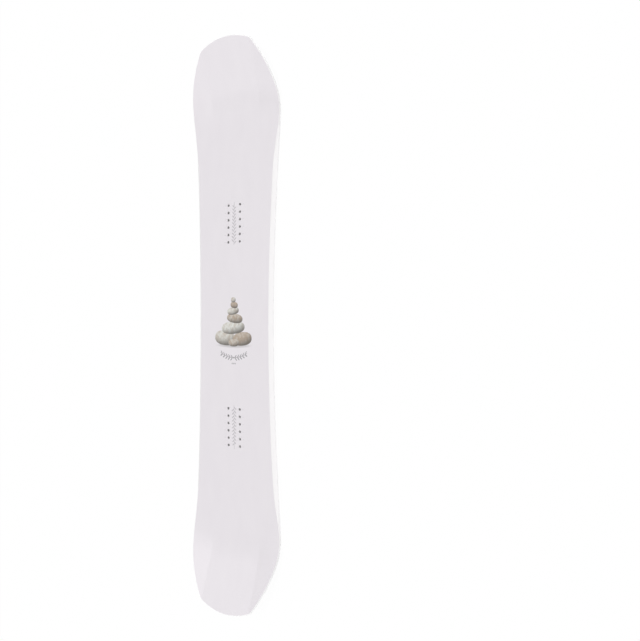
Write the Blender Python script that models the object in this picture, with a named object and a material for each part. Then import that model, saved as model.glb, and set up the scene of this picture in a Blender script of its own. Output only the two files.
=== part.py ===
"""A twin-tip snowboard, built up in the layers that a board is pressed from.

Metres. X runs along the board with the nose at +X, Y across it, and +Z up. The board lies on its
base, and the origin is on the ground under its middle.

Every layer is drawn flat first, by its distance s along the board and y across it, and then
pressed: the same form bends them all, so the layers stay parallel, one glue line apart.
"""
import math

import bmesh
import bpy
from mathutils import Matrix, Vector

# Outline, as the board is cut flat
FLAT_LENGTH = 1.546
WAIST_WIDTH = 0.256
SIDECUT_RADIUS = 7.45
SHOVEL_RADIUS = 0.250
TIP_DEPTH = 0.019
CORNER_RADIUS = 0.028
TIP_LENGTH = 0.195
SIDECUT_SHORTFALL = 0.022

# Form of the press
CAMBER = 0.0053
KICK_LENGTH = 0.062
KICK_ANGLE = math.radians(19.2)
CREASE_HALF_WIDTH = 0.081
CREASE_TO_CORNER = 0.0035
LIFT_LEAD = 0.050
LIFT_SLOPE = 0.17

# Stack of layers, from the base up
GLUE_LINE = 0.0003
BASE_THICKNESS = 0.0013
LAMINATE_THICKNESS = 0.0006
DAMPING_THICKNESS = 0.0003
TOPSHEET_THICKNESS = 0.0005
MIDDLE_THICKNESS = 0.0100
TIP_THICKNESS = 0.0060

# Slanted side
BEVEL_MIDDLE = 0.0103
BEVEL_TIP = 0.0018
BEVEL_LAND = 0.0004
BEVEL_FADE_LEAD = 0.163
BEVEL_FADE_LENGTH = 0.140
SIDEWALL_WIDTH = 0.0170

# Steel edge
EDGE_WIDTH = 0.0020
EDGE_HEIGHT = 0.0022
FLANGE_THICKNESS = 0.0006
FLANGE_REACH = 0.0035
TOOTH_REACH = 0.0092
TOOTH_ROOT_LENGTH = 0.0090
TOOTH_END_LENGTH = 0.0130
TOOTH_PITCH = 0.0360
TOOTH_SHOULDER = 0.00005
TOOTH_ROOT = 0.0008

# Inserts and the laths that hold them
STANCE = 0.551
INSERT_ROWS = 6
INSERT_PITCH = 0.020
INSERT_COLUMN_SPACING = 0.040
INSERT_MARGIN = 0.012
INSERT_BORE_RADIUS = 0.0025
INSERT_MOUTH_RADIUS = 0.0033
INSERT_MOUTH_DEPTH = 0.0008
INSERT_BARREL_RADIUS = 0.0040
INSERT_FLANGE_RADIUS = 0.0080
INSERT_FLANGE_THICKNESS = 0.0012
INSERT_SUNK = 0.0002
INSERT_SIDES = 8
LATH_STEPS = 2
SEAT_WALL = 0.0020
SEAT_OVERCUT = 0.0005

# Curved joint between the core and the tip spacers
JOINT_LEAD = 0.005
JOINT_BULGE = 0.043

# How finely the form is stepped
WAIST_STEPS = 2
SHOULDER_STEPS = 3
LEAD_STEPS = 3
KICK_STEPS = 4
SWEEP_STEPS = 5
TIP_STEPS = 4
SETTLE_TURNS = 30
CORNER_SHARE = 0.1
JOINT_CORNER_GAP = 0.005
SHARP_ANGLE = math.radians(50)
WELD = 0.000001

# Places worked out from the sizes above
HALF_LENGTH = FLAT_LENGTH / 2
CONTACT = HALF_LENGTH - TIP_LENGTH
SIDECUT_END = CONTACT - SIDECUT_SHORTFALL
LIFT_START = CONTACT - LIFT_LEAD
FORM_END = CONTACT + KICK_LENGTH
CORNER = HALF_LENGTH - TIP_DEPTH
FADE_START = CONTACT - BEVEL_FADE_LEAD
FADE_END = FADE_START + BEVEL_FADE_LENGTH
PACK_HALF = INSERT_PITCH * (INSERT_ROWS - 1) / 2 + INSERT_MARGIN
ZONE_START = STANCE / 2 - PACK_HALF
ZONE_END = STANCE / 2 + PACK_HALF
JOINT_START = FORM_END + JOINT_LEAD

LAMINATE_BOTTOM = BASE_THICKNESS + GLUE_LINE
CORE_BOTTOM = LAMINATE_BOTTOM + LAMINATE_THICKNESS + GLUE_LINE
DAMPING_BOTTOM = EDGE_HEIGHT + GLUE_LINE
SIDEWALL_BOTTOM = DAMPING_BOTTOM + DAMPING_THICKNESS + GLUE_LINE
FLANGE_BOTTOM = EDGE_HEIGHT - FLANGE_THICKNESS

# Colours: red, green, blue, roughness, metallic
FINISHES = {
    "topsheet": (0.77, 0.75, 0.78, 0.35, 0.0),
    "base": (0.63, 0.64, 0.64, 0.50, 0.0),
    "laminate": (0.70, 0.74, 0.62, 0.45, 0.0),
    "sidewall": (0.88, 0.87, 0.88, 0.45, 0.0),
    "spacer": (0.85, 0.85, 0.86, 0.45, 0.0),
    "edge": (0.32, 0.33, 0.35, 0.30, 1.0),
    "insert": (0.30, 0.30, 0.31, 0.35, 1.0),
    "damping": (0.03, 0.03, 0.03, 0.85, 0.0),
    "lath_light": (0.72, 0.55, 0.34, 0.70, 0.0),
    "lath_dark": (0.47, 0.29, 0.14, 0.70, 0.0),
}


def smooth_step(value, start, end):
    """0 before start, 1 after end, and a soft S between them."""
    share = min(max((value - start) / (end - start), 0.0), 1.0)
    return share * share * (3 - 2 * share)


def steps(start, end, count):
    """The ends of count equal steps from start to end, without start itself."""
    return [start + (end - start) * index / count for index in range(1, count + 1)]


def signed(values):
    """The same distances on both halves of the board, tail first."""
    return [-value for value in reversed(values) if value > 0] + list(values)


def half_stations():
    """Distances along the board where the form changes, from the middle to the nose's flat."""
    places = [0.0]
    places += steps(0.0, ZONE_START, WAIST_STEPS)
    places += [ZONE_END]
    places += steps(ZONE_END, LIFT_START, SHOULDER_STEPS)
    places += steps(LIFT_START, CONTACT, LEAD_STEPS)
    places += steps(CONTACT, FORM_END, KICK_STEPS)
    return places


STATIONS = signed(half_stations())
RIM_STATIONS = signed(half_stations() + steps(FORM_END, CORNER, SWEEP_STEPS)[:-1])


def side_width(s):
    """Half the board's width at s and its slope: a sidecut arc, then a sweep to the corner."""
    run = abs(s)
    if run <= SIDECUT_END:
        return WAIST_WIDTH / 2 + run * run / (2 * SIDECUT_RADIUS), run / SIDECUT_RADIUS
    width, slope = side_width(SIDECUT_END)
    run -= SIDECUT_END
    return width + slope * run - run * run / (2 * SHOVEL_RADIUS), slope - run / SHOVEL_RADIUS


CORNER_WIDTH = side_width(CORNER)[0]


def tip_reach(y):
    """How far the blunt tip reaches at y, and its slope: a shallow arc between the corners."""
    share = y / CORNER_WIDTH
    return HALF_LENGTH - TIP_DEPTH * share * share, -2 * TIP_DEPTH * share / CORNER_WIDTH


def inset_side(s, inset):
    """The side's half width at s, moved in by inset square to the outline."""
    width, slope = side_width(s)
    return width - inset * math.hypot(1, slope)


def inset_tip(y, inset):
    """The tip's reach at y, moved in by inset square to the outline."""
    reach, slope = tip_reach(y)
    return reach - inset * math.hypot(1, slope)


def crease_width(s):
    """Half the width of the flat middle panel at s: parallel, then on to near the tip's corner."""
    share = max(abs(s) - FORM_END, 0.0) / (CORNER - FORM_END)
    return CREASE_HALF_WIDTH + (CORNER_WIDTH - CREASE_TO_CORNER - CREASE_HALF_WIDTH) * share


def rounded_corner(inset):
    """Start, shoulder, crease and end of the round corner, for an outline moved in by inset.

    The corner is an arc between the side and the tip, and the crease ends on it.
    """
    s, y = CORNER, CORNER_WIDTH
    for _ in range(SETTLE_TURNS):
        s, y = inset_tip(y, inset), inset_side(s, inset)
    start = math.atan(side_width(s)[1]) + math.pi / 2
    end = math.atan2(-1, -tip_reach(y)[1]) + math.pi / 2
    radius = max(CORNER_RADIUS - inset, GLUE_LINE)
    depth = radius / math.cos((start - end) / 2)
    s -= depth * math.cos((start + end) / 2)
    y -= depth * math.sin((start + end) / 2)
    least = (start - end) * CORNER_SHARE
    crease = end
    for _ in range(SETTLE_TURNS):
        rise = (crease_width(s + radius * math.cos(crease)) - y) / radius
        rise = min(max(rise, math.sin(end + least)), math.sin(start - least))
        crease = math.asin(rise)
    turns = (start, (start + crease) / 2, crease, end)
    return [(s + radius * math.cos(turn), y + radius * math.sin(turn)) for turn in turns]


TIP_CREASE = SWEEP_STEPS + 1
TIP_LAST = TIP_CREASE + 1 + TIP_STEPS


def thickness(s):
    """Thickness of the whole board: full through the inserts, thin at the tips."""
    share = smooth_step(abs(s), ZONE_END, FORM_END)
    return MIDDLE_THICKNESS + (TIP_THICKNESS - MIDDLE_THICKNESS) * share


def topsheet_top(s):
    return thickness(s)


def topsheet_bottom(s):
    return topsheet_top(s) - TOPSHEET_THICKNESS


def laminate_top(s):
    return topsheet_bottom(s) - GLUE_LINE


def laminate_bottom(s):
    return laminate_top(s) - LAMINATE_THICKNESS


def core_top(s):
    return laminate_bottom(s) - GLUE_LINE


def level(height):
    """A height that is the same all along the board."""
    return lambda s: height


def margin(inset):
    """An inset that is the same all along the board."""
    return lambda s: inset


def bevel(height):
    """Inset of the slanted side at a height, which is a function of s."""
    def inset(s):
        reach = BEVEL_MIDDLE + (BEVEL_TIP - BEVEL_MIDDLE) * smooth_step(abs(s), FADE_START, FADE_END)
        share = (height(s) - EDGE_HEIGHT) / (thickness(s) - EDGE_HEIGHT)
        return BEVEL_LAND + (reach - BEVEL_LAND) * share
    return inset


def spine(s):
    """The pressed centre line at s: its place along X, its height and its climb, for s >= 0."""
    if s <= CONTACT:
        share = (s / CONTACT) ** 2
        climb = math.atan(-4 * CAMBER * s / CONTACT ** 2 * (1 - share))
        return s, CAMBER * (1 - share) ** 2, climb
    radius = KICK_LENGTH / KICK_ANGLE
    climb = KICK_ANGLE * min((s - CONTACT) / KICK_LENGTH, 1.0)
    straight = max(s - FORM_END, 0.0)
    x = CONTACT + radius * math.sin(climb) + straight * math.cos(climb)
    z = radius * (1 - math.cos(climb)) + straight * math.sin(climb)
    return x, z, climb


def pressed(s, y, height):
    """A flat point after the press, at one of the form's stations or on the flat of a tip."""
    x, z, climb = spine(abs(s))
    lift = LIFT_SLOPE * smooth_step(abs(s), LIFT_START, FORM_END)
    height += lift * max(abs(y) - crease_width(s), 0.0)
    x -= height * math.sin(climb)
    return math.copysign(x, s), y, z + height * math.cos(climb)


def place(s, y, height):
    """A flat point after the press, anywhere: between two stations the form is straight."""
    if abs(s) >= FORM_END:
        return pressed(s, y, height(s))
    index = max(i for i, station in enumerate(STATIONS) if station <= s)
    first, last = STATIONS[index], STATIONS[index + 1]
    share = (s - first) / (last - first)
    start = pressed(first, y, height(first))
    end = pressed(last, y, height(last))
    return tuple(a + (b - a) * share for a, b in zip(start, end))


def rim_width(s, inset):
    """Half width at s of an outline moved in by inset, straight between the rim's stations."""
    index = max(i for i, station in enumerate(RIM_STATIONS[:-1]) if station <= s)
    first, last = RIM_STATIONS[index], RIM_STATIONS[index + 1]
    share = (s - first) / (last - first)
    start = inset_side(first, inset(first))
    end = inset_side(last, inset(last))
    return start + (end - start) * share


CORE_END_WIDTH = rim_width(JOINT_START, margin(SIDEWALL_WIDTH))


def tip_rim(inset, middle=0.0):
    """Rim of one half of the nose for y > 0, from the last rim station to the middle of the tip."""
    amount = inset(HALF_LENGTH)
    points = rounded_corner(amount)
    for y in steps(points[-1][1], middle, TIP_STEPS):
        points.append((inset_tip(y, amount), y))
    return points


def half_rim(inset, middle=0.0):
    """Rim of the whole board for y > 0, from the middle of the tail to the middle of the nose."""
    nose = tip_rim(inset, middle)
    sides = [(s, inset_side(s, inset(s))) for s in RIM_STATIONS]
    return [(-s, y) for s, y in reversed(nose)] + sides + nose


def finish(name):
    """The Principled material of one kind of piece."""
    if name in bpy.data.materials:
        return bpy.data.materials[name]
    red, green, blue, roughness, metallic = FINISHES[name]
    material = bpy.data.materials.new(name)
    material.use_nodes = True
    shader = material.node_tree.nodes["Principled BSDF"]
    shader.inputs["Base Color"].default_value = (red, green, blue, 1.0)
    shader.inputs["Roughness"].default_value = roughness
    shader.inputs["Metallic"].default_value = metallic
    material.diffuse_color = (red, green, blue, 1.0)
    return material


def add_object(name, mesh, material=None):
    """Puts a mesh into the scene as a named object."""
    piece = bpy.data.objects.new(name, mesh)
    bpy.context.scene.collection.objects.link(piece)
    if material:
        mesh.materials.append(finish(material))
    return piece


class Solid:
    """A closed mesh made from named corners, each with its place after the press."""

    def __init__(self, name):
        self.name = name
        self.work = bmesh.new()
        self.corners = {}

    def corner(self, key, point):
        if key not in self.corners:
            self.corners[key] = self.work.verts.new(point)
        return self.corners[key]

    def face(self, keys):
        self.work.faces.new([self.corners[key] for key in keys])

    def mesh(self):
        bmesh.ops.recalc_face_normals(self.work, faces=self.work.faces)
        mesh = bpy.data.meshes.new(self.name)
        self.work.to_mesh(mesh)
        self.work.free()
        return mesh


def closed_layer(name, material, polygons, rim, points, heights):
    """Closes a layer between two levels that share their polygons.

    polygons list the corners of each flat face, rim lists the corners round the outside, and
    points give each corner's flat place on the lower and on the upper level.
    """
    solid = Solid(name)
    for side in (0, 1):
        for key, flat in points[side].items():
            solid.corner((side, key), place(*flat, heights[side]))
        for polygon in polygons:
            solid.face([(side, key) for key in polygon])
    for first, last in zip(rim, rim[1:] + rim[:1]):
        solid.face([(0, first), (0, last), (1, last), (1, first)])
    return add_object(name, solid.mesh(), material)


def ladder(rows, flat):
    """Cells between rows of corners, each row running from its lowest y to its highest.

    Where the side panels lift, a cell outside the creases is folded from its inner corner near
    the waist to its outer corner near the tip, alike in every layer, so that none cuts another.
    """
    polygons = []
    for first, last in zip(rows, rows[1:]):
        start, end = flat[first[0]][0], flat[last[0]][0]
        if min(abs(start), abs(end)) < LIFT_START:
            polygons.append(first + last[::-1])
            continue
        for a, b, c, d in zip(first, first[1:], last[1:], last):
            across = flat[a][1] + flat[b][1]
            if abs(across) / 2 < CREASE_HALF_WIDTH:
                polygons.append([a, b, c, d])
            elif (across > 0) == (start >= 0):
                polygons += [[a, b, c], [a, c, d]]
            else:
                polygons += [[a, b, d], [b, c, d]]
    return polygons


def tip_keys(end, side, numbers):
    """Names of a tip's rim corners, which share the one on the middle line."""
    return [("tip", end, side if number < TIP_LAST else 1, number) for number in numbers]


def mirrored(end, side, flats):
    """Named flat places of a tip's rim, turned to one end and one side of the board."""
    keys = tip_keys(end, side, range(len(flats)))
    return {key: (end * s, side * y) for key, (s, y) in zip(keys, flats)}


def sheet_level(inset):
    """Flat places of a sheet's corners, and its rows, for an outline moved in by inset."""
    flat = {}
    rows = []
    for index, s in enumerate(STATIONS):
        widths = [inset_side(s, inset(s))]
        if abs(s) >= LIFT_START:
            widths = [crease_width(s), inset_side(s, SIDEWALL_WIDTH)] + widths
        row = [-width for width in reversed(widths)] + widths
        rows.append([(index, lane) for lane in range(len(row))])
        flat.update({key: (s, y) for key, y in zip(rows[-1], row)})
    sweep = [(s, inset_side(s, inset(s))) for s in RIM_STATIONS if s > FORM_END]
    for end in (-1, 1):
        for side in (-1, 1):
            flat.update(mirrored(end, side, sweep + tip_rim(inset)))
    return flat, rows


def tip_polygons(end, heel, middle, toe):
    """Side panels and middle panel of a tip, beyond the given corners, ordered outwards."""
    panel = range(TIP_CREASE + 1)
    arc = range(TIP_CREASE, TIP_LAST + 1)
    polygons = [heel + tip_keys(end, -1, panel), toe + tip_keys(end, 1, panel)]
    polygons.append(middle + tip_keys(end, 1, arc) + tip_keys(end, -1, reversed(arc[:-1])))
    return polygons


def sheet(name, material, heights, insets):
    """A layer with the whole outline, between two levels."""
    levels = [sheet_level(inset) for inset in insets]
    flat, rows = levels[0]
    polygons = ladder(rows, flat)
    for end, row in ((-1, rows[0]), (1, rows[-1])):
        polygons += tip_polygons(end, row[2::-1], row[2:4], row[3:])
    around = range(TIP_LAST + 1)
    rim = [row[-1] for row in rows]
    rim += tip_keys(1, 1, around) + tip_keys(1, -1, reversed(around[:-1]))
    rim += [row[0] for row in reversed(rows)]
    rim += tip_keys(-1, -1, around) + tip_keys(-1, 1, reversed(around[:-1]))
    places = [level_flat for level_flat, _ in levels]
    return closed_layer(name, material, polygons, rim, places, heights)


def joint_reach(y, clearance):
    """Where the joint between the core and a spacer lies at y, moved towards the tip."""
    share = min(abs(y) / CORE_END_WIDTH, 1.0)
    slope = 2 * JOINT_BULGE * share / CORE_END_WIDTH if share < 1.0 else 0.0
    return JOINT_START + JOINT_BULGE * (1 - share * share) + clearance * math.hypot(1, slope)


def lath_bounds():
    """The joints between laths for y > 0: beside the inserts, then evenly out to the crease."""
    seat = INSERT_FLANGE_RADIUS + SEAT_WALL
    inner = INSERT_COLUMN_SPACING / 2 - seat
    outer = INSERT_COLUMN_SPACING / 2 + seat
    return [inner, outer] + steps(outer, CREASE_HALF_WIDTH, LATH_STEPS)


def lath(name, material, low, high):
    """A lath of the core between two widths, which are functions of s."""
    flat = {}
    rows = []
    for index, s in enumerate(STATIONS):
        row = [low(s), high(s)]
        if abs(s) >= LIFT_START:
            creases = (-crease_width(s), crease_width(s))
            row[1:1] = [y for y in creases if row[0] + GLUE_LINE < y < row[-1] - GLUE_LINE]
        rows.append([(index, lane) for lane in range(len(row))])
        flat.update({key: (s, y) for key, y in zip(rows[-1], row)})
    ends = {}
    for end in (-1, 1):
        s = end * JOINT_START
        widths = [low(s), (low(s) + high(s)) / 2, high(s)]
        ends[end] = [("joint", end, number) for number in range(len(widths))]
        for key, y in zip(ends[end], widths):
            flat[key] = (end * joint_reach(y, -GLUE_LINE / 2), y)
    polygons = ladder(rows, flat)
    polygons.append(rows[-1] + ends[1][::-1])
    polygons.append(rows[0] + ends[-1][::-1])
    rim = [row[-1] for row in rows] + ends[1][::-1]
    rim += [row[0] for row in reversed(rows)] + ends[-1]
    heights = (level(CORE_BOTTOM), core_top)
    return closed_layer(name, material, polygons, rim, (flat, flat), heights)


def spacer_level(end, inset):
    """Flat places of a tip spacer's corners, and its joint corners from heel to toe."""
    crease = crease_width(JOINT_START)
    rim = rim_width(JOINT_START, inset)
    bounds = [CORE_END_WIDTH] + lath_bounds()
    middles = [(a + b) / 2 for a, b in zip(sorted(bounds), sorted(bounds)[1:])]
    inner = [y for y in bounds + middles if abs(y - crease) > JOINT_CORNER_GAP]
    widths = sorted(inner + [crease, rim])
    row = [-width for width in reversed(widths)] + [0.0] + widths
    joint = [("joint", number) for number in range(len(row))]
    flat = {key: (end * joint_reach(y, GLUE_LINE / 2), y) for key, y in zip(joint, row)}
    sweep = [(s, inset_side(s, inset(s))) for s in RIM_STATIONS if s > FORM_END]
    for side in (-1, 1):
        flat.update(mirrored(end, side, sweep + tip_rim(inset)))
    return flat, joint, row.index(-crease), row.index(crease)


def spacer(name, end):
    """The plastic fill of one tip, from the core's curved end to the rim."""
    heights = (level(CORE_BOTTOM), core_top)
    levels = [spacer_level(end, bevel(height)) for height in heights]
    joint, heel, toe = levels[0][1:]
    polygons = tip_polygons(end, joint[heel::-1], joint[heel:toe + 1], joint[toe:])
    around = range(TIP_LAST + 1)
    rim = joint + tip_keys(end, 1, around) + tip_keys(end, -1, reversed(around[:-1]))
    places = [level_parts[0] for level_parts in levels]
    return closed_layer(name, "spacer", polygons, rim, places, heights)


def strip(name, material, side, flats, heights):
    """Carries a closed profile along one side: flats[corner][stop] are flat places for y > 0.

    Each cell is folded as those of the ladder are.
    """
    solid = Solid(name)
    corners = range(len(flats))
    stops = range(len(flats[0]))
    for corner in corners:
        for stop in stops:
            s, y = flats[corner][stop]
            solid.corner((corner, stop), place(s, side * y, heights[corner]))
    waist = len(stops) // 2
    for stop in stops[:-1]:
        near, far = (stop, stop + 1) if flats[0][stop][0] >= 0 else (stop + 1, stop)
        for corner in corners:
            pair = (corner, (corner + 1) % len(flats))
            inner, outer = sorted(pair, key=lambda item: flats[item][waist][1])
            solid.face([(inner, near), (outer, near), (outer, far)])
            solid.face([(inner, near), (outer, far), (inner, far)])
    for stop in (stops[0], stops[-1]):
        solid.face([(corner, stop) for corner in corners])
    return add_object(name, solid.mesh(), material)


def side_strip(name, material, side, profile):
    """A strip along one side, between the two tip spacers."""
    end = JOINT_START - GLUE_LINE / 2
    stops = [-end] + STATIONS + [end]
    flats = [[(s, rim_width(s, inset)) for s in stops] for inset, _ in profile]
    return strip(name, material, side, flats, [height for _, height in profile])


def sidewall(name, side):
    """The slanted plastic wall beside the core, above the damping strip."""
    low, high = level(SIDEWALL_BOTTOM), core_top
    inner = margin(SIDEWALL_WIDTH)
    profile = [(bevel(low), low), (inner, low), (inner, high), (bevel(high), high)]
    return side_strip(name, "sidewall", side, profile)


def damping_strip(name, side):
    """Rubber foil over the steel edge's teeth."""
    low, high = level(DAMPING_BOTTOM), level(DAMPING_BOTTOM + DAMPING_THICKNESS)
    inner = margin(SIDEWALL_WIDTH)
    profile = [(bevel(low), low), (inner, low), (inner, high), (bevel(high), high)]
    return side_strip(name, "damping", side, profile)


def tooth_places():
    """Places of the teeth along one edge: evenly, then one in every second cell of the lift."""
    count = 2 * int(LIFT_START / TOOTH_PITCH)
    pitch = 2 * (LIFT_START - TOOTH_END_LENGTH / 2) / count
    places = [pitch * index for index in range(count // 2 + 1)]
    cells = [s for s in STATIONS if s >= LIFT_START]
    places += [(a + b) / 2 for a, b in zip(cells[1:], cells[2:])][::2]
    return signed(places)


def tooth_block(name, side):
    """The teeth of one edge, flared towards the middle of the board, to be joined to it."""
    solid = Solid(name)
    insets = (FLANGE_REACH - TOOTH_ROOT, TOOTH_REACH)
    spans = (TOOTH_ROOT_LENGTH, TOOTH_END_LENGTH)
    heights = (FLANGE_BOTTOM + TOOTH_SHOULDER, EDGE_HEIGHT - TOOTH_SHOULDER)
    for number, centre in enumerate(tooth_places()):
        for row, (inset, span) in enumerate(zip(insets, spans)):
            for end in (0, 1):
                s = centre + span * (end - 0.5)
                y = side * rim_width(s, margin(inset))
                for storey, height in enumerate(heights):
                    solid.corner((number, row, end, storey), place(s, y, level(height)))
        ring = [(0, 0), (0, 1), (1, 1), (1, 0)]
        for storey in (0, 1):
            solid.face([(number, *corner, storey) for corner in ring])
        for a, b in zip(ring, ring[1:] + ring[:1]):
            solid.face([(number, *a, 0), (number, *b, 0), (number, *b, 1), (number, *a, 1)])
    return hidden(add_object(name, solid.mesh()))


def steel_edge(name, side):
    """One steel edge: a square head, a flange over the base, and teeth for the resin to grip."""
    profile = [
        (0.0, 0.0),
        (0.0, EDGE_HEIGHT),
        (FLANGE_REACH, EDGE_HEIGHT),
        (FLANGE_REACH, FLANGE_BOTTOM),
        (EDGE_WIDTH, FLANGE_BOTTOM),
        (EDGE_WIDTH, 0.0),
    ]
    flats = [half_rim(margin(inset), GLUE_LINE / 2) for inset, _ in profile]
    edge = strip(name, "edge", side, flats, [level(height) for _, height in profile])
    join(edge, tooth_block(name + "_teeth", side), "UNION")
    return edge


def hidden(cutter):
    """Marks a shape that only cuts or joins another."""
    cutter.hide_render = True
    cutter.display_type = "WIRE"
    return cutter


def join(piece, other, operation):
    """Cuts a shape out of a piece, or adds it, and keeps the shape as a hidden guide."""
    modifier = piece.modifiers.new(other.name, "BOOLEAN")
    modifier.object = other
    modifier.operation = operation
    modifier.solver = "EXACT"


def turned(name, profile, closed):
    """A shape turned round the Z axis from a profile of radii and heights."""
    work = bmesh.new()
    corners = [work.verts.new((radius, 0.0, height)) for radius, height in profile]
    pairs = list(zip(corners, corners[1:]))
    if closed:
        pairs.append((corners[-1], corners[0]))
    lines = [work.edges.new(pair) for pair in pairs]
    turn = 2 * math.pi
    bmesh.ops.spin(
        work, geom=corners + lines, cent=(0, 0, 0), axis=(0, 0, 1), angle=turn, steps=INSERT_SIDES
    )
    bmesh.ops.remove_doubles(work, verts=work.verts, dist=WELD)
    bmesh.ops.recalc_face_normals(work, faces=work.faces)
    mesh = bpy.data.meshes.new(name)
    work.to_mesh(mesh)
    work.free()
    return mesh


def insert_places():
    """Name, place and tilt of each insert: two columns under each foot."""
    middle = (INSERT_ROWS - 1) / 2
    for foot, end in (("nose", 1), ("tail", -1)):
        for column, side in (("toe", 1), ("heel", -1)):
            y = side * INSERT_COLUMN_SPACING / 2
            for row in range(INSERT_ROWS):
                s = end * STANCE / 2 + (middle - row) * INSERT_PITCH
                foot_point = Vector(place(s, y, level(0.0)))
                up = Vector(place(s, y, level(MIDDLE_THICKNESS))) - foot_point
                tilt = Matrix.Rotation(math.atan2(up.x, up.z), 4, "Y")
                spot = Matrix.Translation(foot_point) @ tilt
                yield f"insert_{foot}_{column}_{row + 1}", spot


def insert_mesh():
    """A threaded insert: a flange at the foot, a barrel and a bore with a wider mouth."""
    top = MIDDLE_THICKNESS - INSERT_SUNK
    shoulder = CORE_BOTTOM + INSERT_FLANGE_THICKNESS
    profile = [
        (INSERT_BORE_RADIUS, CORE_BOTTOM),
        (INSERT_FLANGE_RADIUS, CORE_BOTTOM),
        (INSERT_FLANGE_RADIUS, shoulder),
        (INSERT_BARREL_RADIUS, shoulder),
        (INSERT_BARREL_RADIUS, top),
        (INSERT_MOUTH_RADIUS, top),
        (INSERT_BORE_RADIUS, top - INSERT_MOUTH_DEPTH),
    ]
    mesh = turned("insert", profile, closed=True)
    mesh.materials.append(finish("insert"))
    mesh.shade_smooth()
    mesh.set_sharp_from_angle(angle=SHARP_ANGLE)
    return mesh


def insert_seats():
    """The stepped holes for all the inserts, as one cutting shape."""
    flange = INSERT_FLANGE_RADIUS + GLUE_LINE
    barrel = INSERT_BARREL_RADIUS + GLUE_LINE
    shoulder = CORE_BOTTOM + INSERT_FLANGE_THICKNESS + GLUE_LINE
    bottom = CORE_BOTTOM - SEAT_OVERCUT
    top = MIDDLE_THICKNESS + SEAT_OVERCUT
    profile = [(0.0, bottom), (flange, bottom), (flange, shoulder), (barrel, shoulder)]
    profile += [(barrel, top), (0.0, top)]
    plug = turned("insert_seat", profile, closed=False)
    work = bmesh.new()
    for _, spot in insert_places():
        before = len(work.verts)
        work.from_mesh(plug)
        work.verts.ensure_lookup_table()
        bmesh.ops.transform(work, matrix=spot, verts=work.verts[before:])
    mesh = bpy.data.meshes.new("insert_seats")
    work.to_mesh(mesh)
    work.free()
    return hidden(add_object("insert_seats", mesh))


def core_laths(seats):
    """The core: a middle lath, then one lath after another towards each side."""
    half = GLUE_LINE / 2
    bounds = lath_bounds()
    spans = [(margin(-bounds[0] + half), margin(bounds[0] - half))]
    for inner, outer in zip(bounds, bounds[1:]):
        spans.append((margin(inner + half), margin(outer - half)))
    side = margin(SIDEWALL_WIDTH + GLUE_LINE)
    spans.append((margin(bounds[-1] + half), lambda s: rim_width(s, side)))
    laths = []
    for offset, (low, high) in enumerate(spans):
        laths.append((offset, low, high))
        if offset:
            laths.append((-offset, lambda s, edge=high: -edge(s), lambda s, edge=low: -edge(s)))
    laths.sort(key=lambda item: item[0])
    for number, (offset, low, high) in enumerate(laths, 1):
        wood = "lath_dark" if offset % 2 else "lath_light"
        piece = lath(f"core_lath_{number}", wood, low, high)
        if abs(offset) == 1:
            join(piece, seats, "DIFFERENCE")


def main():
    for item in list(bpy.data.objects):
        bpy.data.objects.remove(item)
    seats = insert_seats()
    running = (level(0.0), level(BASE_THICKNESS))
    base_rim = margin(EDGE_WIDTH + GLUE_LINE)
    sheet("base", "base", running, (base_rim, base_rim))
    lower = (level(LAMINATE_BOTTOM), level(LAMINATE_BOTTOM + LAMINATE_THICKNESS))
    lower_rim = margin(TOOTH_REACH + GLUE_LINE)
    sheet("bottom_laminate", "laminate", lower, (lower_rim, lower_rim))
    upper = (laminate_bottom, laminate_top)
    top_laminate = sheet("top_laminate", "laminate", upper, [bevel(height) for height in upper])
    cover = (topsheet_bottom, topsheet_top)
    topsheet = sheet("topsheet", "topsheet", cover, [bevel(height) for height in cover])
    join(top_laminate, seats, "DIFFERENCE")
    join(topsheet, seats, "DIFFERENCE")
    core_laths(seats)
    spacer("nose_spacer", 1)
    spacer("tail_spacer", -1)
    for name, side in (("toe", 1), ("heel", -1)):
        steel_edge(f"{name}_edge", side)
        damping_strip(f"{name}_damping_strip", side)
        sidewall(f"{name}_sidewall", side)
    mesh = insert_mesh()
    for name, spot in insert_places():
        piece = add_object(name, mesh)
        piece.matrix_world = spot


main()
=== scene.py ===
"""A bare twin-tip snowboard seen from above on a white floor.

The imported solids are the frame. Every layer that shows is made again here as a smooth surface with
the same outline, press and stack, and the laths inside keep their solids with a wood finish.
Metres: X along the board, nose at +X, Y across it, toe side at +Y, Z up.
"""
import math

import bpy
import numpy as np
from mathutils import Matrix, Vector


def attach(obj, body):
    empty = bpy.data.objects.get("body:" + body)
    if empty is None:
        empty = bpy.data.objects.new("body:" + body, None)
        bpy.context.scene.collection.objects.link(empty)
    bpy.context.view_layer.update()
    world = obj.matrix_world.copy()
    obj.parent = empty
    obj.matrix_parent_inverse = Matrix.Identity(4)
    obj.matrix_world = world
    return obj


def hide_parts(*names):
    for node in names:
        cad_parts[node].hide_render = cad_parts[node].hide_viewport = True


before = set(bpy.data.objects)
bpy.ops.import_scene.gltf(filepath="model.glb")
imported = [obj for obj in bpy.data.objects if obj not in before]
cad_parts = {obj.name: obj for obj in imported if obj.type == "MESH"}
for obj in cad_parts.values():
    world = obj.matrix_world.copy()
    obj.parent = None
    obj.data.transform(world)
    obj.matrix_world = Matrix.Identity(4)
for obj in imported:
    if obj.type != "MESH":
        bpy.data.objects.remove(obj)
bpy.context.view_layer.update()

# Outline, as the board is cut flat
HALF_LENGTH = 0.773
WAIST_WIDTH = 0.256
SIDECUT_RADIUS = 7.45
SHOVEL_RADIUS = 0.250
TIP_DEPTH = 0.019
CORNER_RADIUS = 0.028
CONTACT = 0.578
SIDECUT_END = CONTACT - 0.022
CORNER = HALF_LENGTH - TIP_DEPTH

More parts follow.
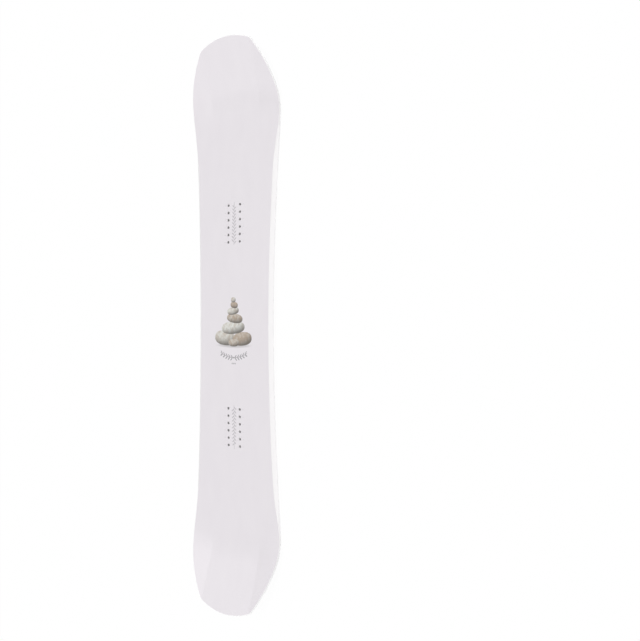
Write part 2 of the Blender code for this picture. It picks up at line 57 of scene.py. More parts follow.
# Form of the press
CAMBER = 0.0053
KICK_LENGTH = 0.062
KICK_ANGLE = math.radians(19.2)
KICK_RADIUS = KICK_LENGTH / KICK_ANGLE
FORM_END = CONTACT + KICK_LENGTH
LIFT_START = CONTACT - 0.050
LIFT_SLOPE = 0.17
CREASE_WIDTH = 0.081
CREASE_TO_CORNER = 0.0035
CREASE_SOFTNESS = 0.0015

# Stack of layers: the solids' levels, with the glue lines closed up to a seam
SEAM = 0.00005
EDGE_SEAM = 0.0001
GLUE_GAP = 0.0003
BASE_THICKNESS = 0.0013
EDGE_WIDTH = 0.0020
EDGE_HEIGHT = 0.0022
CORE_BOTTOM = 0.0025
DAMPING_TOP = 0.00255
TOPSHEET_THICKNESS = 0.0005
LAMINATE_DEPTH = 0.0014
MIDDLE_THICKNESS = 0.0100
TIP_THICKNESS = 0.0060
THIN_START = 0.3375

# Slanted side and steel edge
BEVEL_MIDDLE = 0.0103
BEVEL_TIP = 0.0018
BEVEL_LAND = 0.0004
BEVEL_FADE = (0.415, 0.555)
SIDEWALL_WIDTH = 0.0170
FLANGE_BOTTOM = 0.0016
FLANGE_REACH = 0.0035
TOOTH_REACH = 0.0092
TOOTH_PITCH = 0.03725
TOOTH_HALF = 0.0060
TOOTH_FOOT = 1.15
EDGE_CHAMFER = 0.00015
FOIL_SET_BACK = 0.0002

# Joint between the core and the tip spacers
JOINT_START = FORM_END + 0.005
JOINT_BULGE = 0.043
JOINT_GAP = 0.00015
LATHS = 9

# Inserts
STANCE = 0.551
INSERT_ROWS = 6
INSERT_PITCH = 0.020
INSERT_COLUMN = 0.020
HOLE_RADIUS = 0.0041
HOLE_CELL = 0.0046
HOLE_SHARE = 0.6
BARREL_RADIUS = 0.0040
MOUTH_RADIUS = 0.0033
MOUTH_DEPTH = 0.0008
THREAD_CORE = 0.00245
THREAD_DEPTH = 0.00055
THREAD_PITCH = 0.0010
FLANGE_RADIUS = 0.0080
FLANGE_THICKNESS = 0.0012
INSERT_SUNK = 0.0002

# Camera, found from the photograph's outline and insert pattern
EYE = Vector((0.01483, -1.08544, 1.29205))
AIM = Vector((0.01331, -0.26655, 0.0))
LENS = 34.52
SENSOR = 36.0
VIEW_END = 100.0

# Studio: each lamp's name, elevation, azimuth, breadth and share of the light, and whether it
# casts shadows and glints
LAMPS = [
    ("overhead_lamp", 80.0, 0.0, 30.0, 0.24, True),
    ("heel_lamp", 10.0, 330.0, 8.0, 0.385, False),
    ("tail_lamp", 10.0, 180.0, 30.0, 0.396, False),
    ("front_lamp", 20.0, 270.0, 30.0, 0.042, True),
    ("base_lamp", -58.0, 40.0, 30.0, 0.46, True),
]
LAMP_DISTANCE = 3.0
WHITE = (1.0, 1.0, 1.0)
WORLD_STRENGTH = 0.6
FLOOR_LEVEL = -0.0005
FLOOR_REACH = 20.0
FLOOR_SHADOW = 0.06

BODY = "root"


# Form of the board

def smooth_step(value, start, end):
    """0 before start, 1 after end, and the cubic S 3t^2 - 2t^3 between them."""
    share = np.clip((value - start) / (end - start), 0.0, 1.0)
    return share * share * (3 - 2 * share)


def side_width(run):
    """Half width and slope at a distance from the middle: a parabola of the sidecut's radius up to
    SIDECUT_END, then a parabola of the shovel's radius that leaves it at the same slope."""
    arc = np.minimum(run, SIDECUT_END)
    sweep = run - arc
    slope = arc / SIDECUT_RADIUS
    width = WAIST_WIDTH / 2 + arc * slope / 2 + sweep * slope - sweep ** 2 / (2 * SHOVEL_RADIUS)
    return width, slope - sweep / SHOVEL_RADIUS


CORNER_WIDTH, CORNER_SLOPE = side_width(CORNER)
SIDE_TURN = math.atan(CORNER_SLOPE)
TIP_TURN = math.atan2(-1, 2 * TIP_DEPTH / CORNER_WIDTH)
CORNER_RUN = CORNER_RADIUS * math.tan((SIDE_TURN - TIP_TURN) / 2)
CORNER_START = CORNER - CORNER_RUN * math.cos(SIDE_TURN)
CORNER_END_WIDTH = CORNER_WIDTH + CORNER_RUN * math.sin(TIP_TURN)
CORNER_STEPS = 16
TIP_STEPS = 24


def side_line(runs):
    """Flat places and outward normals along the side at the given runs, one row each for s, y and
    the normal's two parts."""
    width, slope = side_width(runs)
    length = np.hypot(1, slope)
    return np.stack([runs, width, -slope / length, 1 / length])


def quarter(runs):
    """Rows as in side_line for a quarter of the outline: along the side, round the corner as an
    arc between the two turns, and across the tip as a parabola in to the middle line."""
    turn = np.linspace(SIDE_TURN, TIP_TURN, CORNER_STEPS + 1)[1:] + math.pi / 2
    start_width = CORNER_WIDTH - CORNER_RUN * math.sin(SIDE_TURN)
    centre = (
        CORNER_START + CORNER_RADIUS * math.sin(SIDE_TURN),
        start_width - CORNER_RADIUS * math.cos(SIDE_TURN),
    )
    corner = np.stack([
        centre[0] + CORNER_RADIUS * np.cos(turn),
        centre[1] + CORNER_RADIUS * np.sin(turn),
        np.cos(turn),
        np.sin(turn),
    ])
    y = np.linspace(CORNER_END_WIDTH, 0.0, TIP_STEPS + 1)[1:]
    reach = HALF_LENGTH - TIP_DEPTH * (y / CORNER_WIDTH) ** 2
    fall = 2 * TIP_DEPTH * y / CORNER_WIDTH ** 2
    length = np.hypot(1, fall)
    tip = np.stack([reach, y, 1 / length, fall / length])
    return np.concatenate([side_line(runs), corner, tip], axis=1)


def both_ends(part):
    """A quarter outline continued over the other end of the board, tail first."""
    tail = part[:, ::-1] * np.array([[-1], [1], [-1], [1]])
    return np.concatenate([tail[:, tail[0] < 0], part], axis=1)


def thickness(s):
    """Full thickness through the inserts, falling to the tips' thickness by a smooth step."""
    fall = smooth_step(abs(s), THIN_START, FORM_END)
    return MIDDLE_THICKNESS + (TIP_THICKNESS - MIDDLE_THICKNESS) * fall


def all_along(amount):
    """A height or an inset that is the same all along the board."""
    return lambda s: np.full_like(s, amount)


def below_top(depth):
    """A height at a depth under the board's top."""
    return lambda s: thickness(s) - depth


def bevel(height, extra=0.0):
    """Inset of the slanted side at a height: in proportion to the height over the steel edge."""
    def inset(s):
        reach = BEVEL_MIDDLE + (BEVEL_TIP - BEVEL_MIDDLE) * smooth_step(abs(s), *BEVEL_FADE)
        share = (height(s) - EDGE_HEIGHT) / (thickness(s) - EDGE_HEIGHT)
        return BEVEL_LAND + (reach - BEVEL_LAND) * share + extra
    return inset


def crease_width(run):
    """Half width of the flat middle panel: parallel up to FORM_END, then on to near the corner."""
    share = np.maximum(run - FORM_END, 0.0) / (CORNER - FORM_END)
    return CREASE_WIDTH + (CORNER_WIDTH - CREASE_TO_CORNER - CREASE_WIDTH) * share


def press(s, y, height):
    """The pressed form: flat places and heights to points.

    The centre line is the camber's quartic arch up to the contact, then an arc of KICK_RADIUS,
    then straight. Heights stand square to it. Outside the creases the side panels rise by
    LIFT_SLOPE, eased in along the board, with a hyperbola in place of the sharp fold.
    """
    run = np.abs(s)
    share = np.minimum(run / CONTACT, 1.0) ** 2
    arch = np.arctan(-4 * CAMBER * run / CONTACT ** 2 * (1 - share))
    bend = KICK_ANGLE * np.clip((run - CONTACT) / KICK_LENGTH, 0.0, 1.0)
    straight = np.maximum(run - FORM_END, 0.0)
    flat = np.minimum(run, CONTACT)
    x = flat + KICK_RADIUS * np.sin(bend) + straight * np.cos(bend)
    z = CAMBER * (1 - share) ** 2 + KICK_RADIUS * (1 - np.cos(bend)) + straight * np.sin(bend)
    climb = np.where(run < CONTACT, arch, bend)
    past = np.abs(y) - crease_width(run)
    past = (past + np.hypot(past, CREASE_SOFTNESS)) / 2
    height = height + LIFT_SLOPE * smooth_step(run, LIFT_START, FORM_END) * past
    x = x - height * np.sin(climb)
    return np.stack([np.copysign(x, s), y, z + height * np.cos(climb)], axis=-1)


# Finishes

class Value:
    """A socket in a finish, so that a formula in Python adds the Math nodes that work it out."""

    def __init__(self, finish, socket):
        self.finish = finish
        self.socket = socket

    def math(self, operation, *others):
        return self.finish.math(operation, self, *others)

    def __add__(self, other):
        return self.math("ADD", other)

    def __sub__(self, other):
        return self.math("SUBTRACT", other)

    def __mul__(self, other):
        return self.math("MULTIPLY", other)

    def __truediv__(self, other):
        return self.math("DIVIDE", other)

    def __pow__(self, other):
        return self.math("POWER", other)

    def __gt__(self, other):
        return self.math("GREATER_THAN", other)

    def __rsub__(self, other):
        return self.finish.math("SUBTRACT", other, self)

    def __rtruediv__(self, other):
        return self.finish.math("DIVIDE", other, self)

    __radd__ = __add__
    __rmul__ = __mul__

    def __abs__(self):
        return self.math("ABSOLUTE")

    def min(self, other):
        return self.math("MINIMUM", other)

    def max(self, other):
        return self.math("MAXIMUM", other)

    def sin(self):
        return self.math("SINE")

    def fract(self):
        return self.math("FRACT")

    def wave(self):
        """The sine, moved to run from 0 to 1."""
        return self.sin() * 0.5 + 0.5

    def fade(self, start, end):
        """1 at start, 0 at end and smooth between them, whichever of the two is the larger."""
        rising = end < start
        low, high = (end, start) if rising else (start, end)
        settings = {"interpolation_type": "SMOOTHSTEP"}
        sockets = {0: self, 1: low, 2: high, 3: float(not rising), 4: float(rising)}
        return self.finish.node("ShaderNodeMapRange", settings, sockets)


class Finish:
    """The nodes of a new material, or of the world."""

    def __init__(self, name, kind="materials"):
        self.block = getattr(bpy.data, kind).new(name)
        self.block.use_nodes = True
        self.tree = self.block.node_tree
        self.tree.nodes.clear()

    def node(self, kind, settings=None, sockets=None, output=0):
        """Adds a node: first its settings, then its sockets' values, colours or links. Gives back
        one of its outputs."""
        node = self.tree.nodes.new(kind)
        for name, setting in (settings or {}).items():
            setattr(node, name, setting)
        for name, entry in (sockets or {}).items():
            if isinstance(entry, Value):
                self.tree.links.new(entry.socket, node.inputs[name])
            elif isinstance(entry, tuple):
                node.inputs[name].default_value = (*entry, 1.0)
            else:
                node.inputs[name].default_value = entry
        return Value(self, node.outputs[output]) if node.outputs else None

    def math(self, operation, *values):
        return self.node("ShaderNodeMath", {"operation": operation}, dict(enumerate(values)))

    def mix(self, share, first, second):
        """Two colours mixed: the first at share 0 and the second at share 1."""
        settings = {"data_type": "RGBA", "clamp_factor": True}
        return self.node("ShaderNodeMix", settings, {0: share, 6: first, 7: second}, output=2)

    def parts(self, place):
        """The three parts of a vector."""
        split = self.node("ShaderNodeSeparateXYZ", {}, {0: place})
        return [Value(self, socket) for socket in split.socket.node.outputs]

    def flat(self):
        """The three parts of the flat attribute: on a sheet the place along and across the board
        and the distance from its rim, and on a strip the length along it, the inset and the
        height."""
        return self.parts(self.node("ShaderNodeAttribute", {"attribute_name": "flat"}, output=1))

    def object_place(self):
        """The three parts of the place in the model's own metres."""
        return self.parts(self.node("ShaderNodeTexCoord", {}, output=3))

    def noise(self, parts, cells, detail=2.0, roughness=0.5):
        """Noise from 0 to 1, about its mean of 0.5. cells is how many of its cells a metre has
        along each part."""
        parts = [part * count for part, count in zip(parts, cells)]
        place = self.node("ShaderNodeCombineXYZ", {}, dict(enumerate(parts)))
        sockets = {"Vector": place, "Scale": 1.0, "Detail": detail, "Roughness": roughness}
        return self.node("ShaderNodeTexNoise", {}, sockets)

    def done(self, colour, roughness, height, depth, **constants):
        """Closes the finish. depth is how deep in metres the height's whole range is."""
        bump = {"Height": height, "Strength": 1.0, "Distance": depth}
        normal = self.node("ShaderNodeBump", {}, bump)
        sockets = {"Base Color": colour, "Roughness": roughness, "Normal": normal}
        sockets.update({name.replace("_", " "): number for name, number in constants.items()})
        shader = self.node("ShaderNodeBsdfPrincipled", {}, sockets)
        self.node("ShaderNodeOutputMaterial", {}, {"Surface": shader})
        return self.block


# Artwork: generic motifs over the flat place, s along the board and y across it. A pair of values
# called RIM, END or WIDTH is where a mask starts to fall and where it has gone, and one called
# LEAF is a leaf's half length and half width.

LINE_SOFTNESS = 0.0004
STEM_HALF = 0.0006
INK = (0.16, 0.16, 0.17)

PEBBLES = [
    # place along and across the board, half width, half height, tilt in degrees, share of tan
    (-0.034, 0.030, 0.0360, 0.0200, 5.0, 0.25),
    (-0.036, -0.030, 0.0320, 0.0180, -6.0, 0.75),
    (-0.047, 0.000, 0.0180, 0.0100, 0.0, 0.55),
    (-0.006, 0.002, 0.0400, 0.0170, -4.0, 0.10),
    (0.019, -0.004, 0.0270, 0.0125, 7.0, 0.60),
    (0.039, 0.002, 0.0200, 0.0100, -8.0, 0.20),
    (0.055, -0.002, 0.0125, 0.0085, 10.0, 0.80),
    (0.069, 0.001, 0.0080, 0.0070, 0.0, 0.30),
]
PEBBLE_ROUNDNESS = 2.4
PEBBLE_RIM = (0.95, 1.05)
PEBBLE_LIGHT = (0.78, 0.79, 0.76)
PEBBLE_TAN = (0.46, 0.375, 0.30)
PEBBLE_SHADE = (0.115, 0.105, 0.092)

# How much light a pebble gets from its side and from above, and loses towards its rim
LIGHT_SIDE = 0.30
LIGHT_ABOVE = 0.75
LIGHT_FALL = 0.35

# Shadow on the ground under the heap
GROUND_PLACE = -0.054
GROUND_HALF = (0.008, 0.068)
GROUND_SHADE = (0.28, 0.27, 0.26)

# Small print: leaves, garland, dots, twigs and ticks
LEAF_LEAN = 0.75
LEAF_RIM = (0.75, 1.15)
GARLAND_PLACE = -0.087
GARLAND_SAG = 6.0
GARLAND_END = (0.0455, 0.0475)
GARLAND_PITCH = 0.0088
GARLAND_LEAVES = 5
GARLAND_LEAF = (0.0046, 0.0021)
GARLAND_SHORTER = 0.0012
BERRY_RIM = (0.0019 ** 2, 0.0026 ** 2)
DOTS_PLACE = -0.1030
DOTS_PITCH = 0.0052
DOTS_END = (0.0075, 0.0080)
DOT_RADIUS = 0.0019
TWIG_START = STANCE / 2 - 0.059
TWIG_END = (0.1170, 0.1175)
TWIG_PITCH = 0.0094
TWIG_LEAVES = 11
TWIG_LEAF = (0.0044, 0.0023)
TWIG_TAPER = 0.012
TICK_PLACE = 0.0315
TICK_HALF = (0.0004, 0.0022)
TICKS_END = (0.0520, 0.0525)


def line(distance, half_width, softness=LINE_SOFTNESS):
    """A mask that is 1 within half_width of where distance is 0."""
    return abs(distance).fade(half_width, half_width + softness)


def add_cairn(finish, colour, s, y):
    """A balanced heap of pebbles. Each is a superellipse, whose rim is where its two shares to the
    power of PEBBLE_ROUNDNESS add up to 1, shaded as a dome that is lit from the upper left."""
    speckle = finish.noise((s, y), cells=(900.0, 900.0), detail=4.0, roughness=0.7)
    cloud = finish.noise((s, y), cells=(70.0, 110.0), detail=3.0).fade(0.62, 0.40)
    ground = ((s - GROUND_PLACE) / GROUND_HALF[0]) ** 2.0 + (y / GROUND_HALF[1]) ** 2.0
    colour = finish.mix(ground.fade(0.1, 1.0) * 0.45, colour, GROUND_SHADE)
    for place_s, place_y, half_width, half_height, tilt, tan_share in PEBBLES:
        turn = math.radians(tilt)
        off_s, off_y = s - place_s, y - place_y
        along = (off_y * math.cos(turn) + off_s * math.sin(turn)) / half_width
        up = (off_s * math.cos(turn) - off_y * math.sin(turn)) / half_height
        rim = abs(along) ** PEBBLE_ROUNDNESS + abs(up) ** PEBBLE_ROUNDNESS
        light = along * LIGHT_SIDE + up * LIGHT_ABOVE - rim * LIGHT_FALL
        body = finish.mix((cloud * 0.4 + tan_share).min(1.0), PEBBLE_LIGHT, PEBBLE_TAN)
        body = finish.mix(light.fade(-1.05, 0.35) * 0.88, body, PEBBLE_SHADE)
        body = finish.mix(speckle.fade(0.36, 0.46) * 0.45, body, PEBBLE_SHADE)
        colour = finish.mix(rim.fade(*PEBBLE_RIM), colour, body)
    return colour


def leaves(reach, off, pitch, count, half_length, half_width):
    """The leaves of a spray, one in each pitch of its stem. reach is a place's distance along the
    stem and off its distance from it. Each leaf is an ellipse that stands on the stem and leans on
    along it, by LEAF_LEAN for each unit of off."""
    place = (reach - off * LEAF_LEAN) / pitch
    beside = (place.fract() - 0.5) * pitch
    blade = (off / half_length - 1.0) ** 2.0 + (beside / half_width) ** 2.0
    return blade.fade(*LEAF_RIM) * place.fade(0.0, -0.01) * place.fade(count - 0.01, count)


def garland(s, y):
    """A hanging garland of two leafy sprays: a stem that sags in a parabola, leaves that lean out
    from the middle above it and below it, and a berry where the two sprays meet."""
    reach = abs(y)
    height = s - GARLAND_PLACE
    off = height - reach ** 2.0 * GARLAND_SAG
    half_length = GARLAND_LEAF[0] - (off > 0.0) * GARLAND_SHORTER
    leaf = (half_length, GARLAND_LEAF[1])
    blades = leaves(reach, abs(off), GARLAND_PITCH, GARLAND_LEAVES, *leaf)
    stem = line(off, STEM_HALF) * reach.fade(*GARLAND_END)
    return blades.max(stem).max((height ** 2.0 + reach ** 2.0).fade(*BERRY_RIM))


def dots(s, y):
    """A short row of three round dots under the garland."""
    beside = ((y / DOTS_PITCH + 0.5).fract() - 0.5) * DOTS_PITCH
    dot = ((s - DOTS_PLACE) ** 2.0 + beside ** 2.0) ** 0.5
    return line(dot, DOT_RADIUS) * abs(y).fade(*DOTS_END)


def twig(s, y):
    """A twig between the insert columns: a straight stem with leaves on its two sides by turns,
    which lean out to the near end of the board and shorten towards the twig's tip."""
    reach = abs(s) - TWIG_START
    turns = reach - (y > 0.0) * (TWIG_PITCH / 2)
    leaf = (TWIG_LEAF[0] - reach * TWIG_TAPER, TWIG_LEAF[1])
    blades = leaves(turns, abs(y), TWIG_PITCH, TWIG_LEAVES, *leaf)
    return blades.max(line(y, STEM_HALF) * reach.fade(0.0005, 0.0) * reach.fade(*TWIG_END))


def ticks(s, y):
    """Short dashes outside the columns, one beside each insert."""
    along = abs(s) - STANCE / 2
    beside = ((along / INSERT_PITCH).fract() - 0.5) * INSERT_PITCH
    dash = line(beside, TICK_HALF[0]) * line(abs(y) - TICK_PLACE, TICK_HALF[1])
    return dash * abs(along).fade(*TICKS_END)


# Vine, in metres
VINE_MIDDLE = -0.022
VINE_LENGTH = 0.585
VINE_REACH = 0.066
VINE_PITCH = 0.094
VINE_WAVE = 0.009
VINE_STEM = 0.0055
SPEAR_HALF = 0.019
GLOW_WIDTH = (0.028, 0.138)

# Vine, in shares of its length, its reach or its pitch
LEAVES_END = 0.80
LEAF_SWEEP = 1.05
LEAF_WIDTH = 0.33
VEIN_SWEEP = 0.10
VEIN_SHIFT = 0.02
VEIN_HALF = 0.022
VEIN_SOFTNESS = 0.014
THORN_SWEEP = 1.7
THORN_SHIFT = 0.46
THORN_REACH = 0.72
THORN_WIDTH = 0.20
SPEAR_LENGTH = 0.27
GLOW_END = (0.78, 1.04)
OVER_ZERO = 0.0004


def vine(s, y):
    """A long thorned vine on a waving stem. Its leaves sweep out towards the nose, on its two
    sides by turns, with a thorn between them, and the stem ends in a spearhead on each tip. Gives
    the mask of the ink and of the glow round it.

    A leaf is where the phase along the stem, less its sweep, lies within a half width that falls
    off along the leaf; a vein is left open in it. share runs from 0 at the middle to 1 at the
    ends, and out from 0 at the stem to 1 where the leaves end. The spearhead's half width is a
    power of the share that is left. OVER_ZERO keeps what is divided by over zero.
    """
    along = s - VINE_MIDDLE
    share = abs(along) / VINE_LENGTH
    off = y - (along * (math.pi / VINE_PITCH)).sin() * share.fade(0.3, 0.75) * VINE_WAVE
    body = 1.0 - (share / LEAVES_END) ** 5.0
    out = abs(off) / (body.max(OVER_ZERO) ** 0.5 * VINE_REACH)
    place = along / VINE_PITCH + (off > 0.0) * 0.5
    phase = (place - out ** 1.5 * LEAF_SWEEP).fract() - 0.5
    width = (1.0 - out).max(0.0) ** 0.65 * LEAF_WIDTH
    blade = (abs(phase) - width).fade(-0.016, 0.0)
    vein = line(phase - out * VEIN_SWEEP + VEIN_SHIFT, VEIN_HALF, VEIN_SOFTNESS)
    blade = blade * (1.0 - vein * out.fade(0.70, 0.82) * out.fade(0.20, 0.12))
    phase = (place - out ** 1.3 * THORN_SWEEP + THORN_SHIFT).fract() - 0.5
    width = (THORN_REACH - out).max(0.0) * THORN_WIDTH
    thorn = (abs(phase) - width).fade(-0.020, 0.0)
    growth = blade.max(thorn) * out.fade(0.96, 0.99) * share.fade(LEAVES_END - 0.02, LEAVES_END)
    spear = ((1.0 - share).max(0.0) / SPEAR_LENGTH) ** 1.7 * share.fade(0.74, 0.60) * SPEAR_HALF
    width = spear.max(share.fade(0.70, 0.80) * VINE_STEM)
    stem = (abs(off) - width).fade(0.0, 0.0006) * share.fade(0.999, 1.0)
    spread = abs(y) / (1.0 - share ** 4.0).max(OVER_ZERO) ** 0.7
    return growth.max(stem), spread.fade(*GLOW_WIDTH) * share.fade(*GLOW_END)


# Finishes of this board. Colours are linear red, green and blue. A pair of them is mixed by a
# pattern, and a wood has the colours of its early wood, its late wood and its pores.

CUT_EDGE = (0.90, 0.89, 0.895)
CUT_WIDTH = (0.00002, 0.0002)
TOPSHEET = ((0.772, 0.738, 0.772), (0.812, 0.780, 0.810))
TOPSHEET_GRAIN = (0.62, 0.60, 0.63)
TOPSHEET_WEAVE = 1100.0
RUNNING = ((0.625, 0.625, 0.627), (0.685, 0.685, 0.687))
RUNNING_GRIT = (0.42, 0.42, 0.43)
VINE_INK = (0.009, 0.023, 0.017)
GLOW = (0.88, 0.17, 0.88)
SIDEWALL = (0.905, 0.89, 0.897)
SIDEWALL_LINES = (0.66, 0.65, 0.66)
TIP_FILL = ((0.86, 0.85, 0.855), (0.92, 0.91, 0.915))
# edge steel: its side's colour raised near white as a painted highlight, its base-flush face painted
# dark as shade
STEEL_WITH_HIGHLIGHT = ((0.93, 0.93, 0.935), (0.98, 0.98, 0.985))
STEEL_GROUND_SHADE = ((0.22, 0.225, 0.23), (0.34, 0.345, 0.35))
STEEL_STAIN = (0.40, 0.39, 0.37)
INSERT = ((0.58, 0.565, 0.57), (0.70, 0.685, 0.69))
# painted shade for the inside of an insert's bore
INSERT_BORE_SHADE = (0.15, 0.145, 0.15)
GLASS = ((0.70, 0.705, 0.68), (0.78, 0.785, 0.76))
GLASS_STRAND = (0.56, 0.57, 0.53)
GLASS_RESIN = (0.72, 0.70, 0.62)
GLASS_WEAVE = math.pi / 0.0022
RUBBER = ((0.72, 0.715, 0.70), (0.81, 0.805, 0.79))
PALE_WOOD = ((0.66, 0.50, 0.31), (0.52, 0.36, 0.20), (0.30, 0.19, 0.10))
BROWN_WOOD = ((0.40, 0.24, 0.12), (0.26, 0.14, 0.07), (0.12, 0.06, 0.03))


def rovings(s, y, scale):
    """Two sine waves at 45 degrees to the board, as cloth's rovings run. scale is their phase in
    radians for each metre along the board."""
    return ((s + y) * scale).sin(), ((s - y) * scale).sin()


def topsheet_finish():
    """Satin printed plastic over glass: faint cloudiness, a fine pebble and the artwork. The print
    ends at the rim, where the mill has cut through to the white of the sheet."""
    finish = Finish("printed_topsheet")
    s, y, rim = finish.flat()
    cloud = finish.noise((s, y), cells=(9.0, 24.0), detail=3.0)
    grain = finish.noise((s, y), cells=(900.0, 900.0), detail=3.0, roughness=0.6)
    first, second = rovings(s, y, TOPSHEET_WEAVE)
    scuff = finish.noise((s, y), cells=(14.0, 260.0), detail=3.0, roughness=0.65)
    colour = finish.mix(cloud, *TOPSHEET)
    colour = finish.mix(grain.fade(0.30, 0.52) * 0.05, colour, TOPSHEET_GRAIN)
    colour = finish.mix(twig(s, y) * 0.36, colour, INK)
    colour = finish.mix(ticks(s, y) * 0.20, colour, INK)
    colour = add_cairn(finish, colour, s, y)
    colour = finish.mix(garland(s, y) * 0.66, colour, INK)
    colour = finish.mix(dots(s, y) * 0.50, colour, INK)
    colour = finish.mix(rim.fade(*CUT_WIDTH), colour, CUT_EDGE)
    roughness = 0.34 + cloud * 0.08 + grain * 0.10 - scuff.fade(0.70, 0.62) * 0.05
    height = grain + first * second * 0.10
    gloss = {"Specular_IOR_Level": 0.35, "Coat_Weight": 0.12}
    return finish.done(colour, roughness, height, depth=0.000012, **gloss)


def running_finish():
    """Sintered plastic under a stone-ground structure, with the artwork let into it."""
    finish = Finish("running_plastic")
    s, y = finish.flat()[:2]
    cloud = finish.noise((s, y), cells=(7.0, 20.0), detail=3.0)
    grit = finish.noise((s, y), cells=(1300.0, 1300.0), roughness=0.7)
    stone = finish.noise((s, y), cells=(16.0, 1500.0))
    ink, glow = vine(s, y)
    colour = finish.mix(cloud, *RUNNING)
    colour = finish.mix(grit.fade(0.36, 0.50) * 0.10, colour, RUNNING_GRIT)
    colour = finish.mix(glow, colour, GLOW)
    colour = finish.mix(ink, colour, VINE_INK)
    roughness = 0.40 + stone * 0.16 + cloud * 0.05
    height = stone + grit * 0.35
    return finish.done(colour, roughness, height, depth=0.00002, Specular_IOR_Level=0.16)


def sidewall_finish():
    """White moulded plastic, cut to its slant by a mill that leaves long fine lines."""
    finish = Finish("milled_sidewall")
    length, _, height = finish.flat()
    lines = finish.noise((length, height), cells=(8.0, 9000.0))
    chatter = (length * 2100.0).sin()
    cloud = finish.noise((length, height), cells=(12.0, 200.0), detail=3.0)
    colour = finish.mix(cloud, tuple(part * 0.97 for part in SIDEWALL), SIDEWALL)
    colour = finish.mix(lines.fade(0.30, 0.45) * 0.08, colour, SIDEWALL_LINES)
    roughness = 0.34 + lines * 0.14
    height = lines + chatter * 0.06
    return finish.done(colour, roughness, height, depth=0.000015, Specular_IOR_Level=0.4)


def spacer_finish():
    """The tip fill's white plastic, with the faint swirls of its moulding."""
    finish = Finish("tip_fill_plastic")
    s, y = finish.flat()[:2]
    swirl = finish.noise((s, y), cells=(28.0, 60.0), detail=4.0, roughness=0.6)
    grain = finish.noise((s, y), cells=(1100.0, 1100.0))
    colour = finish.mix(swirl, *TIP_FILL)
    roughness = 0.36 + grain * 0.14
    return finish.done(colour, roughness, grain + swirl, depth=0.00002, Specular_IOR_Level=0.4)


def edge_finish():
    """Steel: polished on its side, where its colour is raised near white as a painted highlight, and
    on the face that lies flush with the base rougher where the base grinder has run and painted dark
    as shade, with long fine scratches and a few stains."""
    finish = Finish("ground_edge_steel")
    length, inset, height = finish.flat()
    across = inset + height
    lines = finish.noise((length, across), cells=(60.0, 26000.0), detail=3.0, roughness=0.6)
    stain = finish.noise((length, across), cells=(40.0, 400.0), detail=4.0)
    ground = height.fade(0.00002, EDGE_CHAMFER)
    # painted light: the side is painted near white as a highlight and the ground face dark as shade
    colour = finish.mix(ground, finish.mix(lines, *STEEL_WITH_HIGHLIGHT), finish.mix(lines, *STEEL_GROUND_SHADE))
    colour = finish.mix(stain.fade(0.68, 0.58) * 0.25, colour, STEEL_STAIN)
    roughness = 0.20 + lines * 0.16 + stain * 0.06 + ground * 0.16
    return finish.done(colour, roughness, lines, depth=0.000010, Metallic=1.0)


def insert_finish():
    """Turned stainless steel: rings left by the tool, and the bore painted darker as shade."""
    finish = Finish("turned_insert_steel")
    across, along, height = finish.flat()
    radius = (across * across + along * along) ** 0.5
    rings = (radius * 42000.0 + height * 30000.0).wave()
    stain = finish.noise((across, along, height), cells=(500.0, 500.0, 500.0), detail=3.0)
    colour = finish.mix(stain, *INSERT)
    # painted shade: the bore inside the mouth's radius is darkened
    colour = finish.mix(radius.fade(0.0030, 0.0034) * 0.65, colour, INSERT_BORE_SHADE)
    roughness = 0.28 + rings * 0.10 + stain * 0.12
    return finish.done(colour, roughness, rings, depth=0.000004, Metallic=1.0)


def laminate_finish():
    """Glass cloth under resin: two rovings woven at 45 degrees, seen as a pale shimmer."""
    finish = Finish("glass_laminate")
    s, y, rim = finish.flat()
    first, second = rovings(s, y, GLASS_WEAVE)
    over = (first * second).fade(-0.15, 0.15)
    strand = finish.noise((s + y, s - y), cells=(300.0, 4200.0))
    cloud = finish.noise((s, y), cells=(18.0, 30.0), detail=3.0)
    colour = finish.mix(over, *GLASS)
    colour = finish.mix(strand.fade(0.30, 0.50) * 0.22, colour, GLASS_STRAND)
    colour = finish.mix(cloud.fade(0.60, 0.40) * 0.15, colour, GLASS_RESIN)
    colour = finish.mix(rim.fade(*CUT_WIDTH) * 0.9, colour, CUT_EDGE)
    roughness = 0.30 + strand * 0.15
    height = abs(first) * over + abs(second) * (1.0 - over) + strand * 0.2
    gloss = {"Specular_IOR_Level": 0.5, "Coat_Weight": 0.3}
    return finish.done(colour, roughness, height, depth=0.00006, **gloss)


def rubber_finish():
    """Milky damping rubber with the fine cloth mark of its backing."""
    finish = Finish("damping_rubber")
    length, inset, height = finish.flat()
    mark = (length * 5200.0).sin() * (inset * 5200.0).sin()
    bloom = finish.noise((length, inset, height), cells=(35.0, 300.0, 300.0), detail=4.0)
    colour = finish.mix(bloom, *RUBBER)
    roughness = 0.62 + bloom * 0.2
    return finish.done(colour, roughness, mark + bloom, depth=0.00002, Specular_IOR_Level=0.4)


def wood_finish(name, early, late, vessel):
    """A lath of hardwood, its rings nearly along the board: wavy bands across it, fine fibres and
    short dark pores."""
    finish = Finish(name)
    x, y, z = finish.object_place()
    drift = finish.noise((x, y, z), cells=(3.0, 25.0, 40.0))
    rings = (y * 260.0 + z * 500.0 + drift * 6.0).wave() ** 1.6
    fibre = finish.noise((x, y, z), cells=(25.0, 1600.0, 1600.0), detail=3.0, roughness=0.6)
    pores = finish.noise((x, y, z), cells=(120.0, 2600.0, 2600.0), detail=1.0).fade(0.70, 0.62)
    cloud = finish.noise((x, y, z), cells=(4.0, 30.0, 30.0), detail=3.0)
    colour = finish.mix(rings * 0.65 + cloud * 0.25, early, late)
    colour = finish.mix(fibre.fade(0.35, 0.55) * 0.25, colour, late)
    colour = finish.mix(pores * 0.55, colour, vessel)
    roughness = 0.52 + fibre * 0.18
    return finish.done(colour, roughness, fibre - pores, depth=0.00005, Specular_IOR_Level=0.3)


# Making pieces

SHARP_ANGLE = math.radians(30.0)


